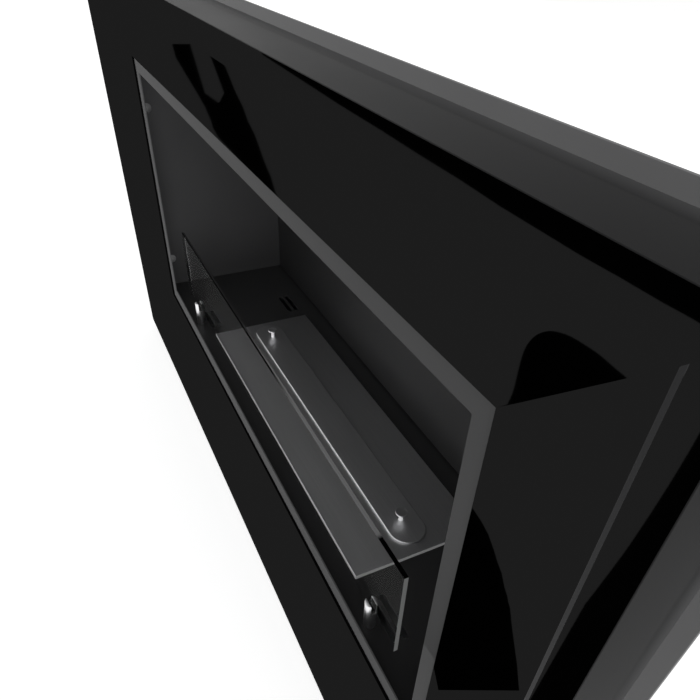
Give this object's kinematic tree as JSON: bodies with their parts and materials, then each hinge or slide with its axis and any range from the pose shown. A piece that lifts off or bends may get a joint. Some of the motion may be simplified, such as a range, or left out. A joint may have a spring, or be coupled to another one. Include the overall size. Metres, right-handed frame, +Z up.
{
  "type": "bioethanol fireplace",
  "caption": "Wide recessed bioethanol fireplace with a sloping gloss frame, open hearth, lift-out burner with lid, and a low glass screen on slotted posts.",
  "frame": {"origin": "centre of the wall plate's screw pattern, on the plate's back face, where it meets the wall", "axes": "+X to the right as seen from the room, +Y into the wall, +Z up"},
  "size_m": [1.222, 0.312, 0.662],
  "materials": {
    "gloss_black": "high gloss",
    "satin_grey": "satin",
    "satin_black": "satin",
    "zinc_steel": "zinc plated",
    "brushed_steel": "fine brushed",
    "polished_steel": "polished",
    "clear_glass": "clear",
    "rubber": "matt",
    "ceramic_wool": "fibrous"
  },
  "bodies": {
    "surround": {"fascia_top": "gloss_black", "fascia_bottom": "gloss_black", "fascia_left": "gloss_black", "fascia_right": "gloss_black", "fascia_corners": "zinc_steel", "splice_strips": "zinc_steel", "casing_top": "satin_grey", "casing_bottom": "satin_grey", "casing_left": "satin_grey", "casing_right": "satin_grey", "wall_plate": "satin_grey", "casing_clips": "zinc_steel", "housing_angles": "zinc_steel", "housing_top": "zinc_steel", "housing_bottom": "zinc_steel", "housing_left": "zinc_steel", "housing_right": "zinc_steel", "housing_back": "zinc_steel", "trim_plate": "satin_grey", "hearth_floor": "satin_black", "hearth_back": "satin_black", "hearth_left": "satin_black", "hearth_right": "satin_black", "hearth_top": "satin_black", "side_screws": "polished_steel", "side_spacers": "zinc_steel", "side_nuts": "zinc_steel", "floor_supports": "zinc_steel", "glass_post_left": "polished_steel", "glass_post_right": "polished_steel", "post_pads": "rubber", "post_bolts": "zinc_steel"},
    "burner": {"burner_plate": "brushed_steel", "burner_tank": "brushed_steel", "burner_wool": "ceramic_wool"},
    "lid": {"lid_plate": "brushed_steel", "lid_collar": "brushed_steel", "lid_knob_left": "polished_steel", "lid_knob_right": "polished_steel", "lid_screws": "polished_steel"},
    "glass": {"glass_pane": "clear_glass"}
  },
  "joints": [
    {"name": "burner_lift", "type": "slide", "parent": "surround", "child": "burner", "axis": [0, 0, 1], "range_m": [0, 0.12]},
    {"name": "lid_lift", "type": "slide", "parent": "burner", "child": "lid", "axis": [0, 0, 1], "range_m": [0, 0.1]},
    {"name": "glass_lift", "type": "slide", "parent": "surround", "child": "glass", "axis": [0, 0, 1], "range_m": [0, 0.06]}
  ]
}
